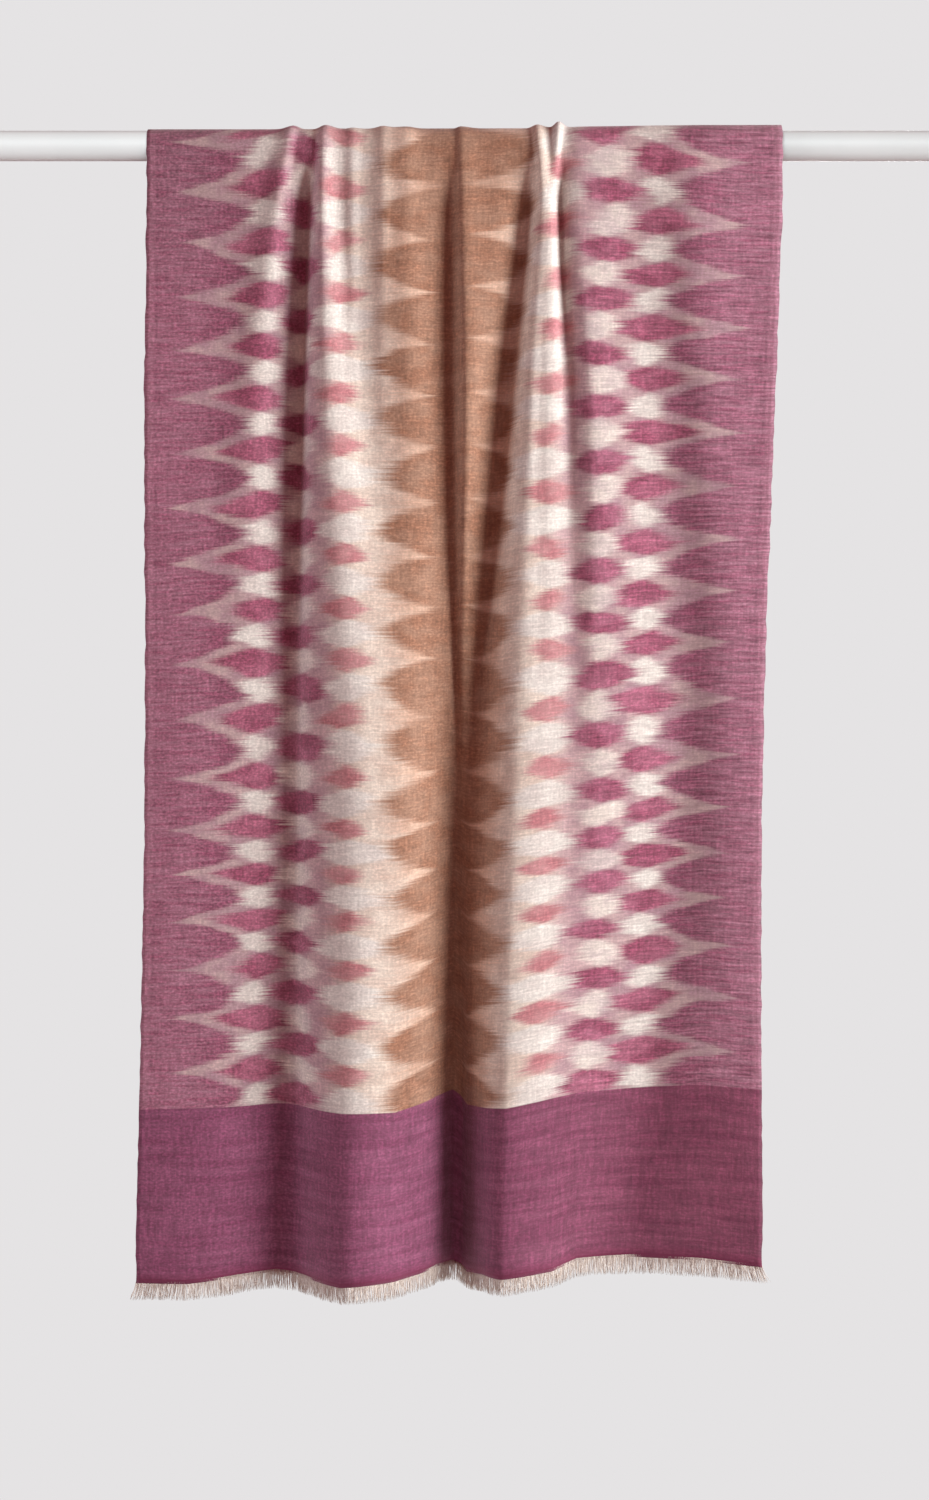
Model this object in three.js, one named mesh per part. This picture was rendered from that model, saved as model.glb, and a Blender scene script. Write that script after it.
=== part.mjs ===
// A woven stole hung over a round rod.
// Millimetres. +Z is up, X runs along the rod, and the long fall hangs on the -Y side, the front.
// The origin is the middle of the rod's axis.

import * as THREE from 'three';
import { mergeVertices } from 'three/addons/utils/BufferGeometryUtils.js';

// ---- Driving dimensions ----

const ROD_LENGTH = 1000;
const ROD_RADIUS = 15;
const ROD_CHAMFER = 1;
const ROD_SIDES = 48;

const CLOTH_WIDTH = 700; // selvedge to selvedge
const CLOTH_LENGTH = 2000; // first hem to last hem, without the fringe
const FRONT_DROP = 1166; // along the left selvedge, from the rod's top to the front hem
const BORDER_DEPTH = 172; // the plain band at each end
const HEM_LINE = 4; // the close-packed picks that hold the fringe
const FRINGE_LENGTH = 17;
const WALL = 1.2;
const ROD_GAP = 0.5; // clear space between the rod and the cloth
const SEAM_GAP = 0.3; // clear space between neighbouring pieces of cloth
const OVER_ROD_REACH = 34; // the piece over the rod runs this far down each side of its top

const BACK_DROP = CLOTH_LENGTH - FRONT_DROP;
const PATH_RADIUS = ROD_RADIUS + ROD_GAP + WALL / 2;
const QUARTER_TURN = (PATH_RADIUS * Math.PI) / 2;

// ---- The drape ----
// "Along" is the distance down a fall from the rod's top. Depths and widths are in millimetres.
// A fold is a bell-shaped ridge (depth > 0, standing away from the rod) or trough (depth < 0).
// Each value is one number, or one for each station along the fall.

const FRONT_STATIONS = [0, 90, 300, 650, 1140];
const FRONT_EDGES = {
  left: [-317.5, -318, -319.5, -318.5, -327],
  right: [317.5, 317.5, 309, 296.5, 294],
};
const FRONT_HANG = [0, 3, 7.5, 10.5, 13]; // how far the whole fall swings out
const FRONT_FOLDS = [
  { name: 'left swell', centre: -275, leftWidth: 50, rightWidth: 50, depth: [0, 0, 2, 4, 6] },
  {
    name: 'left ridge',
    centre: [-172, -187, -212, -230, -235],
    leftWidth: [9, 13, 22, 30, 40],
    rightWidth: [5, 8, 16, 24, 25],
    depth: [4, 7, 4, 0, 0],
  },
  {
    name: 'left valley',
    centre: [-156, -159, -165, -169, -174],
    leftWidth: [8, 11, 21, 34, 48],
    rightWidth: [7, 6, 8, 12, 24],
    depth: [0, -15, -22, -17, -23],
  },
  {
    name: 'left roll',
    centre: [-140, -142, -134, -107, -110],
    leftWidth: [7, 7, 19, 46, 40],
    rightWidth: [10, 11, 26, 56, 59],
    depth: [4, 10, 15, 23, 33],
  },
  { name: 'first pucker', centre: -112, leftWidth: 6, rightWidth: 7, depth: [2, 2.5, 0.5, 0, 0] },
  { name: 'second pucker', centre: -82, leftWidth: 6, rightWidth: 8, depth: [3, 3, 0.5, 0, 0] },
  {
    name: 'shoulder',
    centre: [-58, -60, -60, -54, -48],
    leftWidth: [18, 30, 34, 26, 20],
    rightWidth: [9, 16, 24, 24, 20],
    depth: [3, 6, 6, 3, 0],
  },
  {
    name: 'centre valley',
    centre: [-13, -14, -13, -11, -7],
    leftWidth: [9, 16, 22, 26, 19],
    rightWidth: [5, 6, 6, 9, 20],
    depth: [0, -7, -10, -16, -34],
  },
  {
    name: 'centre ridge',
    centre: [-4, -2, 2, -3, -3],
    leftWidth: [4, 5, 6, 4, 4],
    rightWidth: [12, 16, 18, 8, 8],
    depth: [2, 5, 8, 0, 0],
  },
  {
    name: 'slanting valley',
    centre: [62, 64, 40, 9, -2],
    leftWidth: [12, 17, 21, 22, 16],
    rightWidth: [6, 6, 11, 20, 24],
    depth: [0, -14, -19, -17, -4],
  },
  {
    name: 'right roll',
    centre: [72, 78, 70, 55, 38],
    leftWidth: [6, 7, 17, 30, 28],
    rightWidth: [7, 11, 33, 54, 72],
    depth: [4, 9, 12, 19, 30],
  },
  {
    name: 'twin ridge',
    centre: [94, 90, 92, 92, 92],
    leftWidth: 5,
    rightWidth: 5,
    depth: [7, 1, 0, 0, 0],
  },
  {
    name: 'right crease',
    centre: [102, 98, 105, 111, 112],
    leftWidth: [5, 5, 9, 16, 20],
    rightWidth: [4, 4, 12, 18, 20],
    depth: [0, -8, -5, 0, 0],
  },
  {
    name: 'right swell',
    centre: [118, 116, 128, 133, 134],
    leftWidth: [10, 10, 16, 26, 34],
    rightWidth: [30, 34, 35, 46, 46],
    depth: [1, 3.5, 9, 7, 0],
  },
  {
    name: 'right hollow',
    centre: [200, 200, 208, 215, 160],
    leftWidth: [36, 36, 36, 36, 60],
    rightWidth: 30,
    depth: [0, -1, -4, -6, -4],
  },
  {
    name: 'edge roll',
    centre: [225, 225, 240, 262, 262],
    leftWidth: 32,
    rightWidth: 40,
    depth: [0, 5, 4.5, 4, 0],
  },
  { name: 'right corner', centre: 330, leftWidth: 115, rightWidth: 40, depth: [0, 0, 0, 2, 23] },
];

const BACK_STATIONS = [0, 90, 300, 850];
const BACK_EDGES = {
  left: [-317.5, -318, -319, -320],
  right: [317.5, 314, 303, 291],
};
const BACK_HANG = [0, 1, 3, 5];
const BACK_FOLDS = [
  {
    name: 'outer roll',
    centre: [-168, -172, -184, -196],
    leftWidth: [9, 14, 26, 36],
    rightWidth: [5, 10, 20, 32],
    depth: [4, 12, 24, 35],
  },
  {
    name: 'inner roll',
    centre: [-138, -134, -112, -92],
    leftWidth: [7, 10, 24, 38],
    rightWidth: [10, 14, 30, 44],
    depth: [4, 13, 26, 35],
  },
  { name: 'pucker', centre: [-84, -80, -60, -40], leftWidth: 9, rightWidth: 9, depth: [2, 4, 1, 0] },
  {
    name: 'centre roll',
    centre: [-4, -6, 4, 16],
    leftWidth: [4, 8, 20, 32],
    rightWidth: [12, 14, 22, 34],
    depth: [2, 12, 24, 34],
  },
  {
    name: 'right roll',
    centre: [76, 80, 96, 122],
    leftWidth: [7, 10, 20, 34],
    rightWidth: [8, 12, 24, 38],
    depth: [3, 14, 27, 36],
  },
  {
    name: 'twin ridge',
    centre: [97, 101, 130, 160],
    leftWidth: [6, 8, 14, 20],
    rightWidth: [6, 10, 20, 24],
    depth: [6, 8, 5, 1],
  },
  {
    name: 'far roll',
    centre: [180, 188, 204, 222],
    leftWidth: 34,
    rightWidth: 36,
    depth: [1, 8, 20, 29],
  },
];

// How far the cloth stands off the rod where its pleats prop it up, across the rod.
const STAND_OFF = {
  x: [-320, -180, -60, 60, 140, 240, 320],
  height: [0, 0, 0.8, 1, 2.6, 4.2, 4.4],
};

// The cloth hangs a little askew, and its valleys carry its weft lines higher than its rolls do.
// Each row is the height of one weft line over its own left end.
const WEFT_STATIONS = [90, 480, 965, 1140];
const WEFT_ACROSS = [0, 50, 100, 140, 165, 225, 280, 330, 358, 378, 415, 442, 492, 518, 573, 640, 700];
const WEFT_RISE = [
  [0, 0, -1, 0, 1, 2, 4, 6, 7, 8, 10, 14, 23, 22.5, 20, 17, 16],
  [0, 2, 4, 5, 5, 7, 6, 7, 9, 9, 10, 13, 17, 17, 22, 24, 24],
  [3, 4.5, 5.5, 7, 5.5, 2, 2, 15, 19.5, 5.5, 5.5, 7, 17, 21, 24.5, 29, 25],
  [2.5, 2, 7.5, 10.5, 7, 2.5, 7, 18, 18, 9.5, 12.5, 10.5, 17, 26.5, 29, 27.5, 22],
];
const BACK_SKEW_STATIONS = [90, 400];

// Cloth that small pleats at the rod take up, and the shares they take.
const PLEATS = [
  { centre: -152, width: 12, share: 0.36 },
  { centre: -20, width: 30, share: 0.16 },
  { centre: 84, width: 14, share: 0.48 },
];
const PLEATS_OPEN_FROM = 60;
const PLEATS_OPEN_BY = 420;

// ---- Small helpers ----

function clamp(value, low, high) {
  return Math.min(high, Math.max(low, value));
}

function mix(a, b, t) {
  return a + (b - a) * t;
}

function smoothStep(low, high, value) {
  const t = clamp((value - low) / (high - low), 0, 1);
  return t * t * (3 - 2 * t);
}

// The interval of a rising list that holds a value, and how far along it the value lies.
function locate(list, value) {
  const held = clamp(value, list[0], list[list.length - 1]);
  let i = 0;
  while (i < list.length - 2 && held >= list[i + 1]) i += 1;
  return { i, t: (held - list[i]) / (list[i + 1] - list[i]) };
}

function linearTable(xs, ys, x) {
  const { i, t } = locate(xs, x);
  return mix(ys[i], ys[i + 1], t);
}

// A smooth curve through one value for each station, by cubic Hermite pieces.
function stationCurve(stations, values, along) {
  if (typeof values === 'number') return values;
  const last = stations.length - 1;
  const slope = (k) => {
    const a = Math.max(0, k - 1);
    const b = Math.min(last, k + 1);
    return (values[b] - values[a]) / (stations[b] - stations[a]);
  };
  const { i, t } = locate(stations, along);
  const span = stations[i + 1] - stations[i];
  const t2 = t * t;
  const t3 = t2 * t;
  return (
    (2 * t3 - 3 * t2 + 1) * values[i] +
    (t3 - 2 * t2 + t) * span * slope(i) +
    (3 * t2 - 2 * t3) * values[i + 1] +
    (t3 - t2) * span * slope(i + 1)
  );
}

// A repeatable stream of numbers from 0 to 1, for the fringe.
function numberStream(seed) {
  let state = seed;
  return () => {
    state = (state * 16807) % 2147483647;
    return state / 2147483647;
  };
}

// ---- The surface ----
// "Path" is the signed distance along a fall from the rod's top: front positive, back negative.

const CROWN_BLEND = 25;
const TROUGH_FROM = 28; // no trough starts where the rod still lies behind the cloth
const TROUGH_BY = 95;

// The front's share of a value at a point on the path, the rest being the back's.
function frontShare(path) {
  return smoothStep(-CROWN_BLEND, CROWN_BLEND, path);
}

function blendFalls(path, front, back) {
  const share = frontShare(path);
  if (share === 1) return front(path);
  if (share === 0) return back(-path);
  return mix(back(Math.max(0, -path)), front(Math.max(0, path)), share);
}

function foldSum(folds, stations, x, along) {
  let total = 0;
  for (const fold of folds) {
    const depth = stationCurve(stations, fold.depth, along);
    const centre = stationCurve(stations, fold.centre, along);
    const side = x < centre ? fold.leftWidth : fold.rightWidth;
    const reach = (x - centre) / stationCurve(stations, side, along);
    total += depth * Math.exp(-reach * reach);
  }
  return total;
}

// How far the cloth stands out from its plain path round the rod.
function depthAt(x, path) {
  const folds = blendFalls(
    path,
    (along) => foldSum(FRONT_FOLDS, FRONT_STATIONS, x, along),
    (along) => foldSum(BACK_FOLDS, BACK_STATIONS, x, along),
  );
  const allowed = folds < 0 ? smoothStep(TROUGH_FROM, TROUGH_BY, Math.abs(path)) : 1;
  const hang = blendFalls(
    path,
    (along) => stationCurve(FRONT_STATIONS, FRONT_HANG, along),
    (along) => stationCurve(BACK_STATIONS, BACK_HANG, along),
  );
  return folds * allowed + hang + linearTable(STAND_OFF.x, STAND_OFF.height, x);
}

function edgeAt(side, path) {
  return blendFalls(
    path,
    (along) => stationCurve(FRONT_STATIONS, FRONT_EDGES[side], along),
    (along) => stationCurve(BACK_STATIONS, BACK_EDGES[side], along),
  );
}

// One section across the fall: where each part of the cloth's width lies along X.
const SECTION_SAMPLES = 480;
const SECTION_COLUMNS = 350;
const SECTION_STEP = 10;
const SECTION_LOW = -900;
const SECTION_COUNT = 210;

function sectionAcross(path) {
  const left = edgeAt('left', path);
  const right = edgeAt('right', path);
  const step = (right - left) / SECTION_SAMPLES;
  const xs = [left];
  const run = [0];
  const pleatRun = [0];
  let before = depthAt(left, path);
  for (let k = 1; k <= SECTION_SAMPLES; k += 1) {
    const x = left + step * k;
    const here = depthAt(x, path);
    xs.push(x);
    run.push(run[k - 1] + Math.hypot(step, here - before));
    let pleat = 0;
    for (const { centre, width, share } of PLEATS) {
      const reach = (x - centre) / width;
      pleat += (share / width) * Math.exp(-reach * reach);
    }
    pleatRun.push(pleatRun[k - 1] + pleat * step);
    before = here;
  }
  const slack = Math.max(0, CLOTH_WIDTH - run[SECTION_SAMPLES]);
  const pleated = slack * (1 - smoothStep(PLEATS_OPEN_FROM, PLEATS_OPEN_BY, Math.abs(path)));
  const cloth = run.map((value, k) => value + (pleated * pleatRun[k]) / pleatRun[SECTION_SAMPLES]);
  const scale = CLOTH_WIDTH / cloth[SECTION_SAMPLES];
  const across = [];
  let k = 0;
  for (let column = 0; column <= SECTION_COLUMNS; column += 1) {
    const wanted = (CLOTH_WIDTH * column) / SECTION_COLUMNS / scale;
    while (k < SECTION_SAMPLES - 1 && cloth[k + 1] < wanted) k += 1;
    const part = clamp((wanted - cloth[k]) / (cloth[k + 1] - cloth[k]), 0, 1);
    across.push(mix(xs[k], xs[k + 1], part));
  }
  return across;
}

const SECTIONS = Array.from({ length: SECTION_COUNT }, (_, k) =>
  sectionAcross(SECTION_LOW + SECTION_STEP * k),
);

function acrossAt(u, path) {
  const row = clamp((path - SECTION_LOW) / SECTION_STEP, 0, SECTION_COUNT - 1.001);
  const column = clamp((u / CLOTH_WIDTH) * SECTION_COLUMNS, 0, SECTION_COLUMNS - 0.001);
  const r = Math.floor(row);
  const c = Math.floor(column);
  const upper = mix(SECTIONS[r][c], SECTIONS[r][c + 1], column - c);
  const lower = mix(SECTIONS[r + 1][c], SECTIONS[r + 1][c + 1], column - c);
  return mix(upper, lower, row - r);
}

// How much higher a weft line lies at u than at the left selvedge.
function weftRise(u, along) {
  const top = linearTable(WEFT_ACROSS, WEFT_RISE[0], u);
  if (along <= WEFT_STATIONS[0]) {
    const plainSkew = (WEFT_RISE[0][WEFT_ACROSS.length - 1] * u) / CLOTH_WIDTH;
    return mix(top, plainSkew, smoothStep(...BACK_SKEW_STATIONS, -along));
  }
  const rises = WEFT_RISE.map((row) => linearTable(WEFT_ACROSS, row, u));
  return stationCurve(WEFT_STATIONS, rises, along);
}

// The middle of the cloth: u from the left selvedge, t along the warp, front hem positive.
function clothPoint(u, t) {
  const path = t - weftRise(u, t);
  const x = acrossAt(u, path);
  const depth = depthAt(x, path);
  if (Math.abs(path) <= QUARTER_TURN) {
    const angle = path / PATH_RADIUS;
    const radius = PATH_RADIUS + depth;
    return new THREE.Vector3(x, -radius * Math.sin(angle), radius * Math.cos(angle));
  }
  const side = path > 0 ? -1 : 1;
  return new THREE.Vector3(x, side * (PATH_RADIUS + depth), QUARTER_TURN - Math.abs(path));
}

const NORMAL_STEP = 2.5;

// The cloth's normal, away from the rod.
function clothNormal(u, t) {
  const left = clothPoint(Math.max(0, u - NORMAL_STEP), t);
  const right = clothPoint(Math.min(CLOTH_WIDTH, u + NORMAL_STEP), t);
  const up = clothPoint(u, t - NORMAL_STEP);
  const down = clothPoint(u, t + NORMAL_STEP);
  return right.sub(left).cross(up.sub(down)).normalize();
}

// ---- Closed walls ----

// A closed box of quads over a grid: outer and inner faces, and a rim round them.
// The inner corners of the grid are given by the same rows and columns as the outer ones.
function closedGrid(outer, inner) {
  const rows = outer.length;
  const columns = outer[0].length;
  const positions = [];
  const quad = (a, b, c, d) => {
    for (const p of [a, b, c, a, c, d]) positions.push(p.x, p.y, p.z);
  };
  for (let r = 0; r < rows - 1; r += 1) {
    for (let c = 0; c < columns - 1; c += 1) {
      quad(outer[r][c], outer[r + 1][c], outer[r + 1][c + 1], outer[r][c + 1]);
      quad(inner[r][c], inner[r][c + 1], inner[r + 1][c + 1], inner[r + 1][c]);
    }
    const end = columns - 1;
    quad(outer[r][0], inner[r][0], inner[r + 1][0], outer[r + 1][0]);
    quad(outer[r][end], outer[r + 1][end], inner[r + 1][end], inner[r][end]);
  }
  for (let c = 0; c < columns - 1; c += 1) {
    const last = rows - 1;
    quad(outer[0][c], outer[0][c + 1], inner[0][c + 1], inner[0][c]);
    quad(outer[last][c], inner[last][c], inner[last][c + 1], outer[last][c + 1]);
  }
  return solidFromTriangles(positions);
}

function solidFromTriangles(positions) {
  const geometry = new THREE.BufferGeometry();
  geometry.setAttribute('position', new THREE.Float32BufferAttribute(positions, 3));
  const merged = mergeVertices(geometry, 1e-4);
  merged.computeVertexNormals();
  return merged;
}

// The outer and inner points of the wall at one place on the cloth.
function wallPair(u, t, thickness) {
  const middle = clothPoint(u, t);
  const normal = clothNormal(u, t);
  return {
    outer: middle.clone().addScaledVector(normal, thickness / 2),
    inner: middle.clone().addScaledVector(normal, -thickness / 2),
  };
}

// The same on the straight facets between the wall's columns.
function facetPair(u, t, thickness) {
  const { i, t: part } = locate(COLUMNS, u);
  const a = wallPair(COLUMNS[i], t, thickness);
  const b = wallPair(COLUMNS[i + 1], t, thickness);
  return { outer: a.outer.lerp(b.outer, part), inner: a.inner.lerp(b.inner, part) };
}

// Rows run from the upper end of a front piece to its lower end, in t.
function clothWall(columns, rows) {
  const pairs = rows.map((t) => columns.map((u) => wallPair(u, t, WALL)));
  return closedGrid(
    pairs.map((row) => row.map((pair) => pair.outer)),
    pairs.map((row) => row.map((pair) => pair.inner)),
  );
}

// Evenly spaced values from one end to the other, in steps no longer than the one given.
function evenly(from, to, step) {
  const count = Math.max(1, Math.ceil(Math.abs(to - from) / step));
  return Array.from({ length: count + 1 }, (_, k) => mix(from, to, k / count));
}

// Runs of even steps, joined end to end.
function stepped(from, runs) {
  const values = [from];
  for (const { to, step } of runs) values.push(...evenly(values[values.length - 1], to, step).slice(1));
  return values;
}

// ---- Pieces ----

const FRONT_HEM = FRONT_DROP;
const BACK_HEM = -BACK_DROP;
const FRONT_BAND = FRONT_HEM - BORDER_DEPTH;
const BACK_BAND = BACK_HEM + BORDER_DEPTH;
const HALF_GAP = SEAM_GAP / 2;

// Columns are close together where the pleats are.
const COLUMNS = stepped(0, [
  { to: 120, step: 20 },
  { to: 256, step: 8 },
  { to: 328, step: 12 },
  { to: 480, step: 8 },
  { to: 550, step: 14 },
  { to: CLOTH_WIDTH, step: 22 },
]);

const CROWN_STEP = 5.4;
const OVER_ROWS = stepped(-OVER_ROD_REACH + HALF_GAP, [
  { to: -QUARTER_TURN, step: 10 },
  { to: QUARTER_TURN, step: CROWN_STEP },
  { to: OVER_ROD_REACH - HALF_GAP, step: 10 },
]);
const FRONT_ROWS = stepped(OVER_ROD_REACH + HALF_GAP, [
  { to: 90, step: 20 },
  { to: 300, step: 45 },
  { to: FRONT_BAND - HALF_GAP, step: 88 },
]);
const FRONT_BORDER_ROWS = evenly(FRONT_BAND + HALF_GAP, FRONT_HEM - HEM_LINE - SEAM_GAP, 60);
const BACK_ROWS = stepped(BACK_BAND + HALF_GAP, [
  { to: -300, step: 130 },
  { to: -90, step: 70 },
  { to: -OVER_ROD_REACH - HALF_GAP, step: 30 },
]);
const BACK_BORDER_ROWS = evenly(BACK_HEM + HEM_LINE + SEAM_GAP, BACK_BAND - HALF_GAP, 90);

const STRANDS = 100;
const STRAND_SHARE = 0.72; // of the strand spacing that a strand's root fills
const TIP_SHARE = 0.3; // of the root's width that is left at the tip
const TIP_THICKNESS = 0.6;
const STRAND_WANDER = 1.6;
const LENGTH_SPREAD = 2.5;
const CORNER_FLARE = 6;

// A hem line with its strands: every other end face of the strip is drawn out into a strand.
// Direction is +1 for the front hem and -1 for the back one.
function fringe(hem, direction, seed) {
  const random = numberStream(seed);
  const spacing = CLOTH_WIDTH / STRANDS;
  const columns = [0];
  for (let k = 0; k < STRANDS; k += 1) {
    const middle = spacing * (k + 0.5);
    const half = (spacing * STRAND_SHARE) / 2;
    columns.push(middle - half, middle + half);
  }
  columns.push(CLOTH_WIDTH);

  const strip = [hem - direction * HEM_LINE, hem];
  const [root, end] = strip.map((t) => columns.map((u) => facetPair(u, t, WALL)));
  const positions = [];
  const quad = (a, b, c, d) => {
    const corners = direction > 0 ? [a, b, c, a, c, d] : [a, c, b, a, d, c];
    for (const p of corners) positions.push(p.x, p.y, p.z);
  };
  const last = columns.length - 1;
  for (let c = 0; c < last; c += 1) {
    const [a, b] = [root[c], root[c + 1]];
    const [p, q] = [end[c], end[c + 1]];
    quad(a.outer, p.outer, q.outer, b.outer);
    quad(a.inner, b.inner, q.inner, p.inner);
    quad(a.outer, b.outer, b.inner, a.inner);
    if (c % 2 === 0) {
      quad(p.outer, p.inner, q.inner, q.outer);
      continue;
    }
    const tip = strandTip(columns[c], columns[c + 1], hem, direction, random);
    quad(p.outer, tip.left.outer, tip.right.outer, q.outer);
    quad(p.inner, q.inner, tip.right.inner, tip.left.inner);
    quad(p.outer, p.inner, tip.left.inner, tip.left.outer);
    quad(q.outer, tip.right.outer, tip.right.inner, q.inner);
    quad(tip.left.outer, tip.left.inner, tip.right.inner, tip.right.outer);
  }
  quad(root[0].outer, root[0].inner, end[0].inner, end[0].outer);
  quad(root[last].outer, end[last].outer, end[last].inner, root[last].inner);
  return solidFromTriangles(positions);
}

// The four corners of a strand's tip.
function strandTip(uLeft, uRight, hem, direction, random) {
  const length = FRINGE_LENGTH - LENGTH_SPREAD * random();
  const lean = STRAND_WANDER * (random() - 0.5);
  const middle = (uLeft + uRight) / 2;
  const half = ((uRight - uLeft) * TIP_SHARE) / 2;
  const fromCentre = (2 * middle) / CLOTH_WIDTH - 1;
  const flare = CORNER_FLARE * Math.sign(fromCentre) * fromCentre ** 8;
  const shift = new THREE.Vector3(lean + flare, 0, 0);
  const corner = (u) => {
    const pair = facetPair(u, hem + direction * length, TIP_THICKNESS);
    return { outer: pair.outer.add(shift), inner: pair.inner.add(shift) };
  };
  return { left: corner(middle - half), right: corner(middle + half) };
}

// The rod, turned about its axis and laid along X.
function rod() {
  const half = ROD_LENGTH / 2;
  const profile = [
    new THREE.Vector2(0, -half),
    new THREE.Vector2(ROD_RADIUS - ROD_CHAMFER, -half),
    new THREE.Vector2(ROD_RADIUS, -half + ROD_CHAMFER),
    new THREE.Vector2(ROD_RADIUS, half - ROD_CHAMFER),
    new THREE.Vector2(ROD_RADIUS - ROD_CHAMFER, half),
    new THREE.Vector2(0, half),
  ];
  return new THREE.LatheGeometry(profile, ROD_SIDES).rotateZ(-Math.PI / 2);
}

// ---- Materials and assembly ----

const MATERIALS = {
  rod: new THREE.MeshStandardMaterial({ color: '#eeeeec', roughness: 0.35, metalness: 0 }),
  field: new THREE.MeshStandardMaterial({ color: '#c49a9c', roughness: 0.9, metalness: 0 }),
  border: new THREE.MeshStandardMaterial({ color: '#8a4468', roughness: 0.9, metalness: 0 }),
  fringe: new THREE.MeshStandardMaterial({ color: '#c9c0b6', roughness: 0.95, metalness: 0 }),
};

const group = new THREE.Group();

function add(name, geometry, material) {
  const mesh = new THREE.Mesh(geometry, material);
  mesh.name = name;
  group.add(mesh);
}

add('rod', rod(), MATERIALS.rod);
add('field_front', clothWall(COLUMNS, FRONT_ROWS), MATERIALS.field);
add('field_over_rod', clothWall(COLUMNS, OVER_ROWS), MATERIALS.field);
add('field_back', clothWall(COLUMNS, BACK_ROWS), MATERIALS.field);
add('border_front', clothWall(COLUMNS, FRONT_BORDER_ROWS), MATERIALS.border);
add('border_back', clothWall(COLUMNS, BACK_BORDER_ROWS), MATERIALS.border);
add('fringe_front', fringe(FRONT_HEM, 1, 5), MATERIALS.fringe);
add('fringe_back', fringe(BACK_HEM, -1, 11), MATERIALS.fringe);

export default group;
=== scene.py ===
"""A hand-woven stole hung over a white rod: the finish of every surface.

The tables of folds and hems are in millimetres, as a pattern cutter would give them.
Everything made from them is in metres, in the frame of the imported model.
"""
import math

import bpy
import numpy as np
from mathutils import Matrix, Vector


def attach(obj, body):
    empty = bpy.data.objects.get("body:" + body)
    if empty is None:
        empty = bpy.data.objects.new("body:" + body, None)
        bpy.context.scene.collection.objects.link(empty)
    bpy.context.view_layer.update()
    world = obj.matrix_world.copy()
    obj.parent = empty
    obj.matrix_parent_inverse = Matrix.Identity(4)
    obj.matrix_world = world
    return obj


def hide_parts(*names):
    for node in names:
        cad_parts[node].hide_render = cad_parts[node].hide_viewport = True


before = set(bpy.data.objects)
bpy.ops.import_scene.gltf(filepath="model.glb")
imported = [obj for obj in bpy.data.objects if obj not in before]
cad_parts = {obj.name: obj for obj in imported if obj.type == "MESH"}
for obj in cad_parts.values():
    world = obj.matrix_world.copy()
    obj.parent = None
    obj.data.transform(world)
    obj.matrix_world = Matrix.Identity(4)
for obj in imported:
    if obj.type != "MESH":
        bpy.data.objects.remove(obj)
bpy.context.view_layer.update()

MM = 0.001

# ---- The cloth's sizes, in millimetres ------------------------------------------------

CLOTH_WIDTH = 700.0
CLOTH_LENGTH = 2000.0
FRONT_DROP = 1166.0
BACK_DROP = CLOTH_LENGTH - FRONT_DROP
BORDER_DEPTH = 172.0
HEM_LINE = 4.5
FRINGE_LENGTH = 17.0
ROD_RADIUS = 15.0
ROD_LENGTH = 1000.0
ROD_CHAMFER = 1.0
PATH_RADIUS = 16.1
QUARTER_TURN = PATH_RADIUS * math.pi / 2
CLOTH_THICKNESS = 0.7

# ---- The drape: the same folds as the solids, with finer ones added --------------------
# A fold is a bell-shaped ridge (depth > 0) or trough (depth < 0), with one value, or one for
# each station down the fall, for its place across the rod, its two half widths and its depth.

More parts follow.
